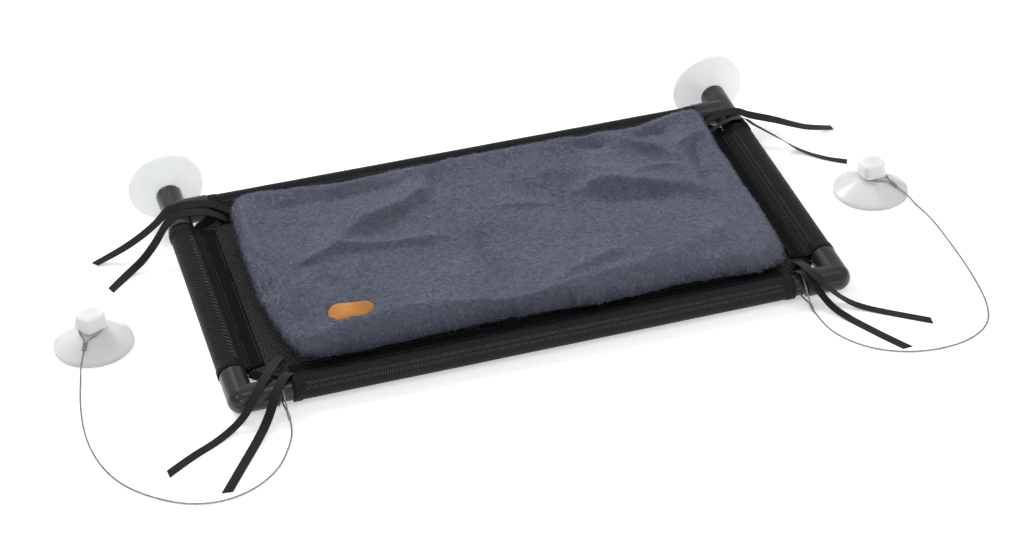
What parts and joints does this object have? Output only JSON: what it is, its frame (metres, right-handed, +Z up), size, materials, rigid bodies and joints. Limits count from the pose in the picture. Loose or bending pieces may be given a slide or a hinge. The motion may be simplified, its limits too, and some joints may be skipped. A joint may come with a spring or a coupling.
{
  "type": "cat window perch",
  "caption": "Tube frame with a mesh sling and a plush pad, suction cups behind its rear corners, and two more cups on steel cables that hang its front edge from a window.",
  "frame": {"origin": "on the floor, at the middle of the base of the whole object without its loose cables and ties", "axes": "+Z up from the floor, +Y towards the side that faces the window pane, +X to the right, along the front tube"},
  "size_m": [0.859, 0.4638, 0.0751],
  "materials": {
    "frame_plastic": "glossy moulded and extruded plastic",
    "clear_pvc": "soft translucent PVC",
    "cap_plastic": "milky white plastic",
    "sleeve_mesh": "coated woven mesh with ribbed stitching",
    "panel_mesh": "open woven mesh",
    "plush": "short plush pile",
    "leather": "tan leather, bare",
    "tie_webbing": "flat woven ribbon",
    "steel_rope": "fine stranded wire rope",
    "ferrule_metal": "crimped"
  },
  "bodies": {
    "root": {"front_tube": "frame_plastic", "rear_tube": "frame_plastic", "left_tube": "frame_plastic", "right_tube": "frame_plastic", "front_left_elbow": "frame_plastic", "front_right_elbow": "frame_plastic", "rear_left_tee": "frame_plastic", "rear_right_tee": "frame_plastic", "rear_left_cup": "clear_pvc", "rear_right_cup": "clear_pvc", "front_sleeve": "sleeve_mesh", "rear_sleeve": "sleeve_mesh", "left_sleeve": "sleeve_mesh", "right_sleeve": "sleeve_mesh", "mesh_panel": "panel_mesh", "plush_pad": "plush", "leather_label": "leather", "front_left_tie_inner": "tie_webbing", "front_left_tie_outer": "tie_webbing", "front_right_tie_inner": "tie_webbing", "front_right_tie_outer": "tie_webbing", "rear_left_tie_inner": "tie_webbing", "rear_left_tie_outer": "tie_webbing", "rear_right_tie_inner": "tie_webbing", "rear_right_tie_outer": "tie_webbing", "left_cable": "steel_rope", "left_frame_eye": "steel_rope", "left_cup_eye": "steel_rope", "right_cable": "steel_rope", "right_frame_eye": "steel_rope", "right_cup_eye": "steel_rope", "left_frame_ferrule": "ferrule_metal", "left_cup_ferrule": "ferrule_metal", "right_frame_ferrule": "ferrule_metal", "right_cup_ferrule": "ferrule_metal"},
    "left_cup": {"left_cable_cup": "clear_pvc"},
    "right_cup": {"right_cable_cup": "clear_pvc"},
    "left_cap": {"left_cup_cap": "cap_plastic"},
    "right_cap": {"right_cup_cap": "cap_plastic"}
  },
  "joints": [
    {"name": "left_cup_swivel", "type": "hinge", "parent": "root", "child": "left_cup", "pos_m": [-0.392, -0.01792, 0], "axis": [0, 0, 1], "continuous": true},
    {"name": "left_cap_turn", "type": "hinge", "parent": "left_cup", "child": "left_cap", "pos_m": [-0.392, -0.01792, 0.0216], "axis": [0, 0, 1], "continuous": true},
    {"name": "right_cup_swivel", "type": "hinge", "parent": "root", "child": "right_cup", "pos_m": [0.392, -0.01792, 0], "axis": [0, 0, 1], "continuous": true},
    {"name": "right_cap_turn", "type": "hinge", "parent": "right_cup", "child": "right_cap", "pos_m": [0.392, -0.01792, 0.0216], "axis": [0, 0, 1], "continuous": true}
  ]
}
